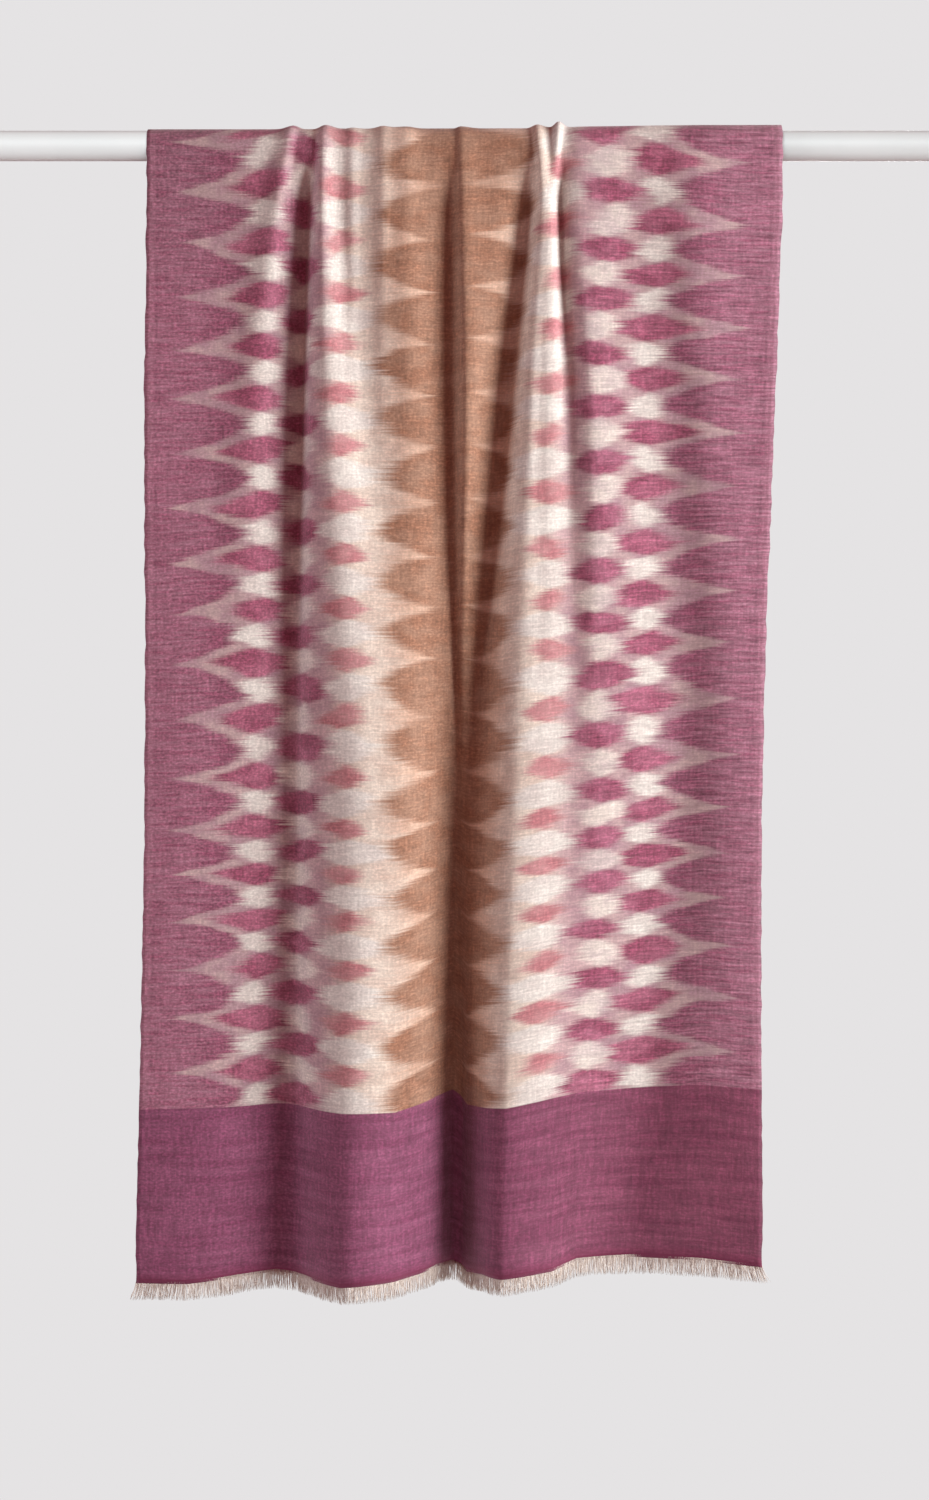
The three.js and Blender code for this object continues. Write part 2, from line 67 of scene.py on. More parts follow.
FRONT_STATIONS = (0, 90, 300, 650, 1140)
FRONT_LEFT = (-317.5, -318, -319.5, -318.5, -327)
FRONT_RIGHT = (317.5, 317.5, 309, 296.5, 294)
FRONT_HANG = (0, 3, 7.5, 10.5, 13)
FRONT_FOLDS = [
    dict(name="left swell", centre=-275, left=50, right=50, depth=(0, 0, 2, 4, 6)),
    dict(name="left ridge", centre=(-172, -187, -212, -230, -235),
         left=(9, 13, 22, 30, 40), right=(5, 8, 16, 24, 25), depth=(4, 7, 4, 0, 0)),
    dict(name="left valley", centre=(-156, -159, -165, -169, -174),
         left=(8, 11, 21, 34, 48), right=(7, 6, 8, 12, 24), depth=(0, -15, -22, -17, -23)),
    dict(name="left roll", centre=(-140, -142, -134, -107, -110),
         left=(7, 7, 19, 46, 40), right=(10, 11, 26, 56, 59), depth=(4, 10, 15, 23, 33)),
    dict(name="first pucker", centre=-112, left=6, right=7, depth=(2, 2.5, 0.5, 0, 0)),
    dict(name="second pucker", centre=-82, left=6, right=8, depth=(3, 3, 0.5, 0, 0)),
    dict(name="shoulder", centre=(-58, -60, -60, -54, -48),
         left=(18, 30, 34, 26, 20), right=(9, 16, 24, 24, 20), depth=(3, 6, 6, 3, 0)),
    dict(name="centre valley", centre=(-13, -14, -13, -11, -7),
         left=(9, 16, 22, 26, 19), right=(5, 6, 6, 9, 20), depth=(0, -7, -10, -16, -34)),
    dict(name="centre ridge", centre=(-4, -2, 2, -3, -3),
         left=(4, 5, 6, 4, 4), right=(12, 16, 18, 8, 8), depth=(2, 5, 8, 0, 0)),
    dict(name="slanting valley", centre=(62, 64, 40, 9, -2),
         left=(12, 17, 21, 22, 16), right=(6, 6, 11, 20, 24), depth=(0, -14, -19, -17, -4)),
    dict(name="right roll", centre=(72, 78, 70, 55, 38),
         left=(6, 7, 17, 30, 28), right=(7, 11, 33, 54, 72), depth=(4, 9, 12, 19, 30)),
    dict(name="twin ridge", centre=(94, 90, 92, 92, 92), left=5, right=5, depth=(7, 1, 0, 0, 0)),
    dict(name="right crease", centre=(102, 98, 105, 111, 112),
         left=(5, 5, 9, 16, 20), right=(4, 4, 12, 18, 20), depth=(0, -8, -5, 0, 0)),
    dict(name="right swell", centre=(118, 116, 128, 133, 134),
         left=(10, 10, 16, 26, 34), right=(30, 34, 35, 46, 46), depth=(1, 3.5, 9, 7, 0)),
    dict(name="right hollow", centre=(200, 200, 208, 215, 160), left=(36, 36, 36, 36, 60), right=30,
         depth=(0, -1, -4, -6, -4)),
    dict(name="edge roll", centre=(225, 225, 240, 262, 262), left=32, right=40,
         depth=(0, 5, 4.5, 4, 0)),
    dict(name="right corner", centre=330, left=115, right=40, depth=(0, 0, 0, 2, 23)),
]

BACK_STATIONS = (0, 90, 300, 850)
BACK_LEFT = (-317.5, -318, -319, -320)
BACK_RIGHT = (317.5, 314, 303, 291)
BACK_HANG = (0, 1, 3, 5)
BACK_FOLDS = [
    dict(name="outer roll", centre=(-168, -172, -184, -196),
         left=(9, 14, 26, 36), right=(5, 10, 20, 32), depth=(4, 12, 24, 35)),
    dict(name="inner roll", centre=(-138, -134, -112, -92),
         left=(7, 10, 24, 38), right=(10, 14, 30, 44), depth=(4, 13, 26, 35)),
    dict(name="pucker", centre=(-84, -80, -60, -40), left=9, right=9, depth=(2, 4, 1, 0)),
    dict(name="centre roll", centre=(-4, -6, 4, 16),
         left=(4, 8, 20, 32), right=(12, 14, 22, 34), depth=(2, 12, 24, 34)),
    dict(name="right roll", centre=(76, 80, 96, 122),
         left=(7, 10, 20, 34), right=(8, 12, 24, 38), depth=(3, 14, 27, 36)),
    dict(name="twin ridge", centre=(97, 101, 130, 160),
         left=(6, 8, 14, 20), right=(6, 10, 20, 24), depth=(6, 8, 5, 1)),
    dict(name="far roll", centre=(180, 188, 204, 222), left=34, right=36, depth=(1, 8, 20, 29)),
]

STAND_OFF_X = (-320, -180, -60, 60, 140, 240, 320)
STAND_OFF = (0, 0, 0.8, 1, 2.6, 4.2, 4.4)

# Height of a weft line over its own left end, at stations down the front fall.
WEFT_STATIONS = (90, 480, 965, 1140)
WEFT_ACROSS = (0, 50, 100, 140, 165, 225, 280, 330, 358, 378, 415, 442, 492, 518, 573, 640, 700)
WEFT_RISE = (
    (0, 0, -1, 0, 1, 2, 4, 6, 7, 8, 10, 14, 23, 22.5, 20, 17, 16),
    (0, 2, 4, 5, 5, 7, 6, 7, 9, 9, 10, 13, 17, 17, 22, 24, 24),
    (3, 4.5, 5.5, 7, 5.5, 2, 2, 15, 19.5, 5.5, 5.5, 7, 17, 21, 24.5, 29, 25),
    (2.5, 2, 7.5, 10.5, 7, 2.5, 7, 18, 18, 9.5, 12.5, 10.5, 17, 26.5, 29, 27.5, 22),
)
BACK_SKEW_STATIONS = (90, 400)

PLEATS = (dict(centre=-152, width=12, share=0.36),
          dict(centre=-20, width=30, share=0.16),
          dict(centre=84, width=14, share=0.48))
PLEATS_OPEN_FROM = 60
PLEATS_OPEN_BY = 420

CROWN_BLEND = 25
TROUGH_FROM = 28
TROUGH_BY = 95


# ---- Curves and noise ------------------------------------------------------------------

def smooth_step(low, high, value):
    t = np.clip((value - low) / (high - low), 0, 1)
    return t * t * (3 - 2 * t)


def hermite(t, span, start, slope_in, stop, slope_out):
    """A cubic piece between two stations, at t from 0 to 1 of its span."""
    t2, t3 = t * t, t * t * t
    return ((2 * t3 - 3 * t2 + 1) * start + (t3 - 2 * t2 + t) * span * slope_in
            + (3 * t2 - 2 * t3) * stop + (t3 - t2) * span * slope_out)


def station_curve(stations, values, along):
    """A smooth curve through one value for each station, or the same value everywhere."""
    if np.isscalar(values):
        return float(values)
    stations = np.asarray(stations, float)
    values = np.asarray(values, float)
    last = len(stations) - 1
    before = np.maximum(np.arange(last + 1) - 1, 0)
    after = np.minimum(np.arange(last + 1) + 1, last)
    slopes = (values[after] - values[before]) / (stations[after] - stations[before])
    held = np.clip(along, stations[0], stations[-1])
    i = np.clip(np.searchsorted(stations, held, side="right") - 1, 0, last - 1)
    span = stations[i + 1] - stations[i]
    t = (held - stations[i]) / span
    return hermite(t, span, values[i], slopes[i], values[i + 1], slopes[i + 1])


LATTICE = 256


def lattice_noise(x, y, cell_x, cell_y, seed):
    """Smooth noise from -1 to 1 over x and y, with one random value for each cell."""
    size = LATTICE
    values = np.random.default_rng(seed).uniform(-1, 1, (size, size))
    fx, fy = x / cell_x + size, y / cell_y + size
    ix, iy = np.floor(fx).astype(int), np.floor(fy).astype(int)
    tx, ty = fx - ix, fy - iy
    tx, ty = tx * tx * (3 - 2 * tx), ty * ty * (3 - 2 * ty)

    def corner(a, b):
        return values[(ix + a) % size, (iy + b) % size]

    near = corner(0, 0) * (1 - tx) + corner(1, 0) * tx
    far = corner(0, 1) * (1 - tx) + corner(1, 1) * tx
    return near * (1 - ty) + far * ty


# ---- The surface -----------------------------------------------------------------------
# "Path" is the signed distance along a fall from the rod's top: front positive, back negative.

def blend_falls(path, front, back):
    """A function of the front fall turning into one of the back fall over the rod's top."""
    share = smooth_step(-CROWN_BLEND, CROWN_BLEND, path)
    return front(np.maximum(path, 0)) * share + back(np.maximum(-path, 0)) * (1 - share)


def fold_sum(folds, stations, x, along):
    """The folds' bells, added up at x across the rod and along a fall."""
    total = np.zeros(np.broadcast(x, along).shape)
    for fold in folds:
        centre = station_curve(stations, fold["centre"], along)
        left = station_curve(stations, fold["left"], along)
        right = station_curve(stations, fold["right"], along)
        reach = (x - centre) / np.where(x < centre, left, right)
        total += station_curve(stations, fold["depth"], along) * np.exp(-reach * reach)
    return total


def depth_at(x, path):
    """How far the cloth stands out from its plain path round the rod."""
    folds = blend_falls(path,
                        lambda along: fold_sum(FRONT_FOLDS, FRONT_STATIONS, x, along),
                        lambda along: fold_sum(BACK_FOLDS, BACK_STATIONS, x, along))
    allowed = np.where(folds < 0, smooth_step(TROUGH_FROM, TROUGH_BY, np.abs(path)), 1)
    hang = blend_falls(path,
                       lambda along: station_curve(FRONT_STATIONS, FRONT_HANG, along),
                       lambda along: station_curve(BACK_STATIONS, BACK_HANG, along))
    return folds * allowed + hang + np.interp(x, STAND_OFF_X, STAND_OFF)


def edge_at(front_edge, back_edge, path):
    return blend_falls(path,
                       lambda along: station_curve(FRONT_STATIONS, front_edge, along),
                       lambda along: station_curve(BACK_STATIONS, back_edge, along))


SECTION_PATHS = np.arange(-900.0, 1200.0, 6.0)
SECTION_U = np.linspace(0, CLOTH_WIDTH, 701)
SECTION_SAMPLES = 901


def cut_sections():
    """For each section across the fall, the X at which each part of the cloth's width lies."""
    share = np.linspace(0, 1, SECTION_SAMPLES)
    paths = SECTION_PATHS[:, None]
    left = edge_at(FRONT_LEFT, BACK_LEFT, paths)
    right = edge_at(FRONT_RIGHT, BACK_RIGHT, paths)
    x = left + (right - left) * share
    depth = depth_at(x, np.broadcast_to(paths, x.shape))
    step = np.diff(x, axis=1)
    start = np.zeros((len(x), 1))
    run = np.hstack([start, np.cumsum(np.hypot(step, np.diff(depth, axis=1)), axis=1)])
    pleats = sum(p["share"] / p["width"] * np.exp(-((x - p["centre"]) / p["width"]) ** 2)
                 for p in PLEATS)
    pleat_run = np.hstack([start, np.cumsum(pleats[:, 1:] * step, axis=1)])
    slack = np.maximum(0, CLOTH_WIDTH - run[:, -1:])
    slack = slack * (1 - smooth_step(PLEATS_OPEN_FROM, PLEATS_OPEN_BY, np.abs(paths)))
    cloth = run + slack * pleat_run / pleat_run[:, -1:]
    cloth *= CLOTH_WIDTH / cloth[:, -1:]
    return np.array([np.interp(SECTION_U, cloth[k], x[k]) for k in range(len(x))])


SECTIONS = cut_sections()


def across_at(u, path):
    """The X of the place u on the section at this path, between the sections cut above."""
    row = np.clip((path - SECTION_PATHS[0]) / (SECTION_PATHS[1] - SECTION_PATHS[0]),
                  0, len(SECTION_PATHS) - 1.001)
    column = np.clip(u / CLOTH_WIDTH * (len(SECTION_U) - 1), 0, len(SECTION_U) - 1.001)
    r, c = row.astype(int), column.astype(int)
    fr, fc = row - r, column - c
    upper = SECTIONS[r, c] * (1 - fc) + SECTIONS[r, c + 1] * fc
    lower = SECTIONS[r + 1, c] * (1 - fc) + SECTIONS[r + 1, c + 1] * fc
    return upper * (1 - fr) + lower * fr


def weft_rise(u, along):
    """How much higher a weft line lies at u than at the left selvedge."""
    rows = [np.interp(u, WEFT_ACROSS, row) for row in WEFT_RISE]
    plain_skew = WEFT_RISE[0][-1] * u / CLOTH_WIDTH
    back = smooth_step(BACK_SKEW_STATIONS[0], BACK_SKEW_STATIONS[1], -along)
    result = rows[0] * (1 - back) + plain_skew * back
    stations = np.asarray(WEFT_STATIONS, float)
    last = len(stations) - 1
    slopes = []
    for k in range(last + 1):
        before, after = max(k - 1, 0), min(k + 1, last)
        slopes.append((rows[after] - rows[before]) / (stations[after] - stations[before]))
    held = np.clip(along, stations[0], stations[-1])
    for k in range(last):
        span = stations[k + 1] - stations[k]
        t = (held - stations[k]) / span
        piece = hermite(t, span, rows[k], slopes[k], rows[k + 1], slopes[k + 1])
        inside = (along > stations[k]) & ((along <= stations[k + 1]) | (k == last - 1))
        result = np.where(inside, piece, result)
    return result


SELVEDGE_WAVER, SELVEDGE_REACH, SELVEDGE_CELL = 0.9, 5, 7
NOISE_COLUMN = 7
RUMPLE, RUMPLE_FROM, RUMPLE_BY = 0.55, 20, 120
# Cells of the rumples across and along the cloth, their shares and their seeds.
RUMPLE_CELLS = ((46, 150, 1.0, 3), (19, 60, 0.5, 4))
# Pinches too fine for the solids, on the stations of the front fall.
PINCHES = [
    dict(name="crest of the right roll", centre=(76, 77, 74, 74, 74), left=8, right=8,
         depth=(0, -3, -2, 0, 0)),
    dict(name="beside the right roll", centre=(95, 94, 103, 112, 112), left=5, right=6,
         depth=(0, -5, -1, 0, 0)),
]


def cloth_points(u, t, fine=True):
    """The middle of the cloth, in metres, at u from the left selvedge and t along the warp."""
    path = t - weft_rise(u, t)
    x = across_at(u, path)
    depth = depth_at(x, path)
    if fine:
        away = smooth_step(RUMPLE_FROM, RUMPLE_BY, np.abs(path))
        rumples = sum(share * lattice_noise(u, t, across, along, seed)
                      for across, along, share, seed in RUMPLE_CELLS)
        depth = depth + away * RUMPLE * rumples
        pinch = fold_sum(PINCHES, FRONT_STATIONS, x, np.maximum(path, 0))
        depth = depth + pinch * smooth_step(TROUGH_FROM, TROUGH_BY, path)
        edge = np.exp(-u / SELVEDGE_REACH) - np.exp(-(CLOTH_WIDTH - u) / SELVEDGE_REACH)
        x = x + SELVEDGE_WAVER * edge * lattice_noise(u * 0 + NOISE_COLUMN, t, 1, SELVEDGE_CELL, 5)
    angle = np.clip(path / PATH_RADIUS, -math.pi / 2, math.pi / 2)
    below = np.maximum(0, np.abs(path) - QUARTER_TURN)
    y = -(PATH_RADIUS + depth) * np.sin(angle)
    z = (PATH_RADIUS + depth) * np.cos(angle) - below
    return np.stack([x, y, z], axis=-1) * MM


# ---- Meshes ----------------------------------------------------------------------------

def new_object(name, vertices, faces, material, smooth=True):
    mesh = bpy.data.meshes.new(name)
    mesh.from_pydata(np.asarray(vertices).tolist(), [], faces)
    mesh.materials.append(material)
    mesh.polygons.foreach_set("use_smooth", [smooth] * len(mesh.polygons))
    mesh.update()
    made = bpy.data.objects.new(name, mesh)
    bpy.context.collection.objects.link(made)
    return made


def grid_normals(points):
    """Unit normals of a grid of points, towards the rod."""
    down = np.gradient(points, axis=0)
    along = np.gradient(points, axis=1)
    normals = np.cross(along, down)
    return normals / np.linalg.norm(normals, axis=-1, keepdims=True)


def stepped(start, runs):
    """Runs of even steps, joined end to end."""
    values = [np.array([start], float)]
    at = start
    for stop, step in runs:
        count = max(1, math.ceil(abs(stop - at) / step))
        values.append(np.linspace(at, stop, count + 1)[1:])
        at = stop
    return np.concatenate(values)


CLOTH_COLUMNS = stepped(0, [(128, 4.2), (250, 2.3), (330, 3.4), (372, 2.6), (412, 3.4),
                            (486, 2.3), (548, 3.4), (CLOTH_WIDTH, 4.4)])
CLOTH_ROWS = stepped(-BACK_DROP, [(-120, 15), (-QUARTER_TURN, 7), (QUARTER_TURN, 3.2),
                                  (60, 4), (200, 7), (FRONT_DROP, 9.2)])


# The woven rows repeat every ROW_PITCH, and wander from an even pitch by a few millimetres.
ROW_PITCH = 51.8
FIRST_GAP = 37.0
UV_ROWS = 40.0
ROW_WANDERS = (dict(at=310, width=110, shift=-19), dict(at=540, width=90, shift=-8))
# Near the rod the rows ride up in two places. In two others the shapes lie to the left.
HIGH_ROWS = (dict(u=145, half=60, shift=22), dict(u=580, half=180, shift=19))
HIGH_ROWS_AT, HIGH_ROWS_WIDTH = 980, 80
SHAPE_WANDERS = (dict(u=290, half=75, at=900, width=260, shift=16),
                 dict(u=572, half=95, at=560, width=380, shift=10))


def bell(value, middle, width):
    return np.exp(-((value - middle) / width) ** 2)


def pattern_place(u, v):
    """Where the chart is read, for a place u, v on the cloth: millimetres across, and rows."""
    above = v - BORDER_DEPTH
    wander = sum(w["shift"] * bell(above, w["at"], w["width"]) for w in ROW_WANDERS)
    high = sum(w["shift"] * bell(u, w["u"], w["half"]) for w in HIGH_ROWS)
    wander = wander + high * bell(above, HIGH_ROWS_AT, HIGH_ROWS_WIDTH)
    left = sum(w["shift"] * bell(u, w["u"], w["half"]) * bell(above, w["at"], w["width"])
               for w in SHAPE_WANDERS)
    return u + left, (above - wander - FIRST_GAP) / ROW_PITCH


def build_cloth(material):
    """One thin shell for the whole cloth, with its flat lay and its place on the chart as UVs."""
    u, t = np.meshgrid(CLOTH_COLUMNS, CLOTH_ROWS)
    middle = cloth_points(u, t)
    normals = -grid_normals(middle)
    half = CLOTH_THICKNESS * MM / 2
    outer = middle + normals * half
    inner = middle - normals * half
    rows, columns = u.shape
    count = rows * columns
    vertices = np.concatenate([outer.reshape(-1, 3), inner.reshape(-1, 3)])
    index = np.arange(count).reshape(rows, columns)
    a, b = index[:-1, :-1].ravel(), index[:-1, 1:].ravel()
    c, d = index[1:, 1:].ravel(), index[1:, :-1].ravel()
    faces = np.concatenate([np.stack([a, b, c, d], 1),
                            np.stack([a, d, c, b], 1) + count]).tolist()
    rim = np.concatenate([index[0, :], index[1:, -1], index[-1, -2::-1], index[-2::-1, 0]])
    for k in range(len(rim) - 1):
        p, q = int(rim[k]), int(rim[k + 1])
        faces.append([q, p, p + count, q + count])
    cloth = new_object("stole_cloth", vertices, faces, material)

    flat_v = (t - FRONT_DROP) * -1
    lay = np.stack([u / CLOTH_WIDTH, flat_v / CLOTH_LENGTH], -1).reshape(-1, 2)
    chart_u, chart_rows = pattern_place(u, flat_v)
    chart = np.stack([chart_u / CLOTH_WIDTH, chart_rows / UV_ROWS], -1).reshape(-1, 2)
    corners = np.empty(len(cloth.data.loops), int)
    cloth.data.loops.foreach_get("vertex_index", corners)
    corners %= count
    for name, values in (("ClothUV", lay), ("PatternUV", chart)):
        layer = cloth.data.uv_layers.new(name=name)
        layer.data.foreach_set("uv", values[corners].ravel())
    return cloth


# ---- Fringe ----------------------------------------------------------------------------

THREADS = 1400
THREAD_RADIUS = 0.4
THREAD_SIDES = 3
THREAD_STEPS = 4
LENGTH_SPREAD = 2.6
LENGTH_WAVE, LENGTH_WAVE_CELL = 0.8, 30
CLUMP_LEAN, CLUMP_CELL = 1.6, 7.0
THREAD_LEAN = 0.7
THREAD_KINK = 0.45
THREAD_STAND_OUT = 0.5
THREAD_TAPER = ((0, 0.2, 0.85, 1), (1, 1, 0.75, 0.35))
CORNER_FLARE = 5.5


def build_fringe(name, hem, direction, seed, material):
    """Loose warp ends below a hem: thin tapered threads that lean together in small clumps."""
    rng = np.random.default_rng(seed)
    base_u = np.sort((np.arange(THREADS) + rng.uniform(0.15, 0.85, THREADS))
                     * CLOTH_WIDTH / THREADS)
    clump = lattice_noise(base_u, base_u * 0, CLUMP_CELL, 1, seed + 1)
    length = (FRINGE_LENGTH - LENGTH_SPREAD * rng.uniform(0, 1, THREADS) ** 1.5
              + LENGTH_WAVE * lattice_noise(base_u, base_u * 0, LENGTH_WAVE_CELL, 1, seed + 2))
    lean = CLUMP_LEAN * clump + rng.normal(0, THREAD_LEAN, THREADS)
    kink = rng.normal(0, THREAD_KINK, (THREADS, THREAD_STEPS + 1))
    out = rng.normal(0, THREAD_STAND_OUT, THREADS)
    from_centre = 2 * base_u / CLOTH_WIDTH - 1
    flare = CORNER_FLARE * np.sign(from_centre) * np.abs(from_centre) ** 10
    vertices, faces = [], []
    share = np.linspace(0, 1, THREAD_STEPS + 1)
    root = hem - direction * HEM_LINE * 0.5
    t = root + direction * share[None, :] * (length[:, None] + HEM_LINE * 0.5)
    spine = cloth_points(np.broadcast_to(base_u[:, None], t.shape).copy(), t, fine=False)
    bend = share[None, :] ** 1.4
    spine[..., 0] += ((lean + flare)[:, None] * bend + kink * share[None, :]) * MM
    spine[..., 1] += out[:, None] * bend * MM
    taper = np.interp(share, *THREAD_TAPER) * THREAD_RADIUS * MM
    angles = np.arange(THREAD_SIDES) * 2 * math.pi / THREAD_SIDES
    outward = 1 if direction < 0 else -1
    for k in range(THREADS):
        turn = angles + rng.uniform(0, 2 * math.pi)
        ring = np.stack([np.cos(turn), np.sin(turn), turn * 0], 1)
        first = len(vertices)
        for j in range(THREAD_STEPS + 1):
            vertices.extend(spine[k, j] + ring * taper[j])
        for j in range(THREAD_STEPS):
            for s in range(THREAD_SIDES):
                n = (s + 1) % THREAD_SIDES
                a, b = first + j * THREAD_SIDES + s, first + j * THREAD_SIDES + n
                quad = [a, b, b + THREAD_SIDES, a + THREAD_SIDES]
                faces.append(quad[::outward])
        top = [first + s for s in range(THREAD_SIDES)]
        tip = [first + THREAD_STEPS * THREAD_SIDES + s for s in range(THREAD_SIDES)]
        faces.append(top[::-outward])
        faces.append(tip[::outward])
    return new_object(name, vertices, faces, material)


# ---- Rod -------------------------------------------------------------------------------

ROD_SEGMENTS = 128
ROD_RINGS = 40
BARREL_INSET = 4
CHAMFER_ROUND = 0.3


def build_rod(material):
    """The rod turned from a profile along X, with a point at the middle of each flat end."""
    half = ROD_LENGTH / 2
    eased = CHAMFER_ROUND * ROD_CHAMFER
    ends = [(-half, 0.0), (-half, ROD_RADIUS - ROD_CHAMFER),
            (-half + eased, ROD_RADIUS - eased), (-half + ROD_CHAMFER, ROD_RADIUS)]
    barrel = [(x, ROD_RADIUS)
              for x in np.linspace(-half + BARREL_INSET, half - BARREL_INSET, ROD_RINGS)]
    profile = ends + barrel + [(-x, r) for x, r in reversed(ends)]
    vertices, faces, rings = [], [], []
    for x, radius in profile:
        if radius == 0:
            rings.append([len(vertices)])
            vertices.append((x * MM, 0, 0))
            continue
        rings.append(list(range(len(vertices), len(vertices) + ROD_SEGMENTS)))
        for k in range(ROD_SEGMENTS):
            angle = 2 * math.pi * k / ROD_SEGMENTS
            vertices.append((x * MM, radius * math.cos(angle) * MM, radius * math.sin(angle) * MM))
    for one, two in zip(rings, rings[1:]):
        for k in range(ROD_SEGMENTS):
            n = (k + 1) % ROD_SEGMENTS
            if len(one) == 1:
                faces.append([one[0], two[n], two[k]])
            elif len(two) == 1:
                faces.append([one[k], one[n], two[0]])
            else:
                faces.append([one[k], one[n], two[n], two[k]])
    return new_object("rod_painted", vertices, faces, material)


# ---- Materials -------------------------------------------------------------------------

def srgb(r, g, b):
    """A linear colour from the 0 to 255 values of a screen."""
    def line(value):
        value /= 255
        return value / 12.92 if value <= 0.04045 else ((value + 0.055) / 1.055) ** 2.4
    return (line(r), line(g), line(b), 1.0)


class Graph:
    """Short names for the node maths of one material."""

    def __init__(self, name):
        self.material = bpy.data.materials.new(name)
        self.material.use_nodes = True
        self.tree = self.material.node_tree
        self.tree.nodes.clear()
        self.out = self.tree.nodes.new("ShaderNodeOutputMaterial")
        self.shader = self.tree.nodes.new("ShaderNodeBsdfPrincipled")
        self.tree.links.new(self.shader.outputs["BSDF"], self.out.inputs["Surface"])

    def put(self, socket, value):
        if isinstance(value, bpy.types.NodeSocket):
            self.tree.links.new(value, socket)
        else:
            socket.default_value = value

    def math(self, operation, a, b=0.0, clamp=False):
        node = self.tree.nodes.new("ShaderNodeMath")
        node.operation = operation
        node.use_clamp = clamp
        self.put(node.inputs[0], a)
        self.put(node.inputs[1], b)
        return node.outputs[0]

    def add(self, a, b):
        return self.math("ADD", a, b)

    def sub(self, a, b):
        return self.math("SUBTRACT", a, b)

    def mul(self, a, b):
        return self.math("MULTIPLY", a, b)

    def ramp(self, value, low, high, out_low=0.0, out_high=1.0, smooth=True):
        """The value from low to high taken to the range from out_low to out_high, and held."""
        node = self.tree.nodes.new("ShaderNodeMapRange")
        node.interpolation_type = "SMOOTHSTEP" if smooth else "LINEAR"
        node.clamp = True
        for name, entry in (("Value", value), ("From Min", low), ("From Max", high),
                            ("To Min", out_low), ("To Max", out_high)):
            self.put(node.inputs[name], entry)
        return node.outputs["Result"]

    def mix(self, factor, a, b, blend="MIX"):
        node = self.tree.nodes.new("ShaderNodeMix")
        node.data_type = "RGBA"
        node.blend_type = blend
        self.put(node.inputs["Factor"], factor)
        self.put(node.inputs[6], a)
        self.put(node.inputs[7], b)
        return node.outputs[2]

    def uv(self, name):
        """The two coordinates of a UV layer."""
        node = self.tree.nodes.new("ShaderNodeUVMap")
        node.uv_map = name
        split = self.tree.nodes.new("ShaderNodeSeparateXYZ")
        self.tree.links.new(node.outputs["UV"], split.inputs[0])
        return split.outputs["X"], split.outputs["Y"]

    def object_position(self):
        return self.tree.nodes.new("ShaderNodeTexCoord").outputs["Object"]

    def vector(self, x, y, z=0.0):
        node = self.tree.nodes.new("ShaderNodeCombineXYZ")
        for socket, value in zip(node.inputs, (x, y, z)):
            self.put(socket, value)
        return node.outputs[0]

    def noise(self, vector, scale=1.0, detail=2.0, rough=0.5):
        """Noise with a middle of 0.5."""
        node = self.tree.nodes.new("ShaderNodeTexNoise")
        node.inputs["Scale"].default_value = scale
        node.inputs["Detail"].default_value = detail
        node.inputs["Roughness"].default_value = rough
        self.put(node.inputs["Vector"], vector)
        return node.outputs["Fac"]

    def grain(self, u, v, across, along, layer, detail=2.0, rough=0.5):
        """Noise in cells of a given size, in millimetres, on a layer of its own."""
        place = self.vector(self.math("DIVIDE", u, across), self.math("DIVIDE", v, along),
                            layer * 7.3)
        return self.noise(place, detail=detail, rough=rough)

    def scaled(self, colour, factor):
        node = self.tree.nodes.new("ShaderNodeVectorMath")
        node.operation = "SCALE"
        self.put(node.inputs[0], colour)
        self.put(node.inputs["Scale"], factor)
        return node.outputs["Vector"]

    def lightness(self, colour):
        node = self.tree.nodes.new("ShaderNodeRGBToBW")
        self.put(node.inputs["Color"], colour)
        return node.outputs["Val"]

    def dyed(self, strength, dye):
        """A colour between the two of a dye."""
        return self.mix(strength, dye[0], dye[1])

    def bump(self, height, distance, strength=1.0):
        node = self.tree.nodes.new("ShaderNodeBump")
        node.inputs["Strength"].default_value = strength
        node.inputs["Distance"].default_value = distance
        self.put(node.inputs["Height"], height)
        return node.outputs["Normal"]


# Dyes, each as the pair that the yarn wanders between.
PURPLE = (srgb(138, 74, 99), srgb(164, 115, 134))
MAGENTA = (srgb(144, 70, 96), srgb(168, 98, 122))
WINE = (srgb(144, 70, 96), srgb(172, 104, 128))
ROSE = (srgb(182, 116, 122), srgb(196, 144, 146))
CREAM = (srgb(225, 221, 214), srgb(214, 206, 200))
GREY_CREAM = (srgb(228, 219, 210), srgb(206, 192, 190))
TAN = (srgb(154, 109, 84), srgb(165, 127, 104))
PALE_PINK = (srgb(188, 162, 162), srgb(168, 134, 144))
PALE_MAUVE = (srgb(200, 170, 172), srgb(180, 146, 154))
PALE_PEACH = (srgb(223, 211, 198), srgb(209, 191, 178))
PALE_TAN = (srgb(214, 182, 160), srgb(196, 159, 137))
SELVEDGE_PINK = srgb(184, 132, 150)
BORDER_PURPLE = (srgb(126, 60, 93), srgb(142, 78, 110))
# A darker copy of the end bands' purple, used as painted shade at their right ends.
BORDER_PAINTED_SHADE = (srgb(114, 48, 76), srgb(132, 66, 92))
HEM_MAGENTA = srgb(124, 24, 72)

